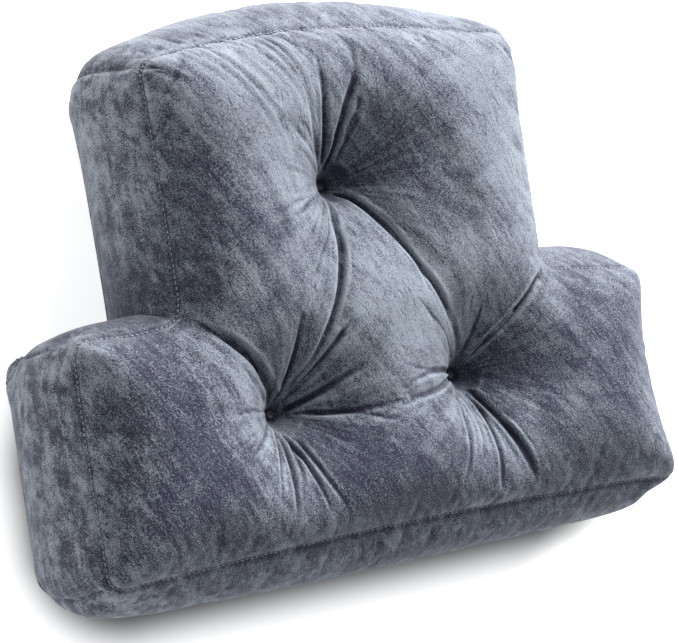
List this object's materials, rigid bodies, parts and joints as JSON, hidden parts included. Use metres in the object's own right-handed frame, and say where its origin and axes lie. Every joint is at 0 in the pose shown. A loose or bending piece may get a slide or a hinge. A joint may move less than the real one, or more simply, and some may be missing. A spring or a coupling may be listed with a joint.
{
  "type": "lumbar pillow",
  "caption": "Tufted plush back-rest cushion shaped like an upside-down T: a tall crowned back over a wider base whose ends stand out as low arms, boxed with a sewn band",
  "frame": {"origin": "middle of the cushion's footprint, on the surface that its back lies on", "axes": "+X across the cushion to the right seen from its face, +Y from the base to the top of the back, +Z out of the face"},
  "size_m": [0.6024, 0.4972, 0.1736],
  "materials": {
    "plush": "short-pile slate blue-grey plush velvet",
    "button_cloth": "dark slate covered button"
  },
  "bodies": {
    "root": {"pillow": "plush", "tuft_button_top": "button_cloth", "tuft_button_left": "button_cloth", "tuft_button_right": "button_cloth"}
  },
  "joints": []
}
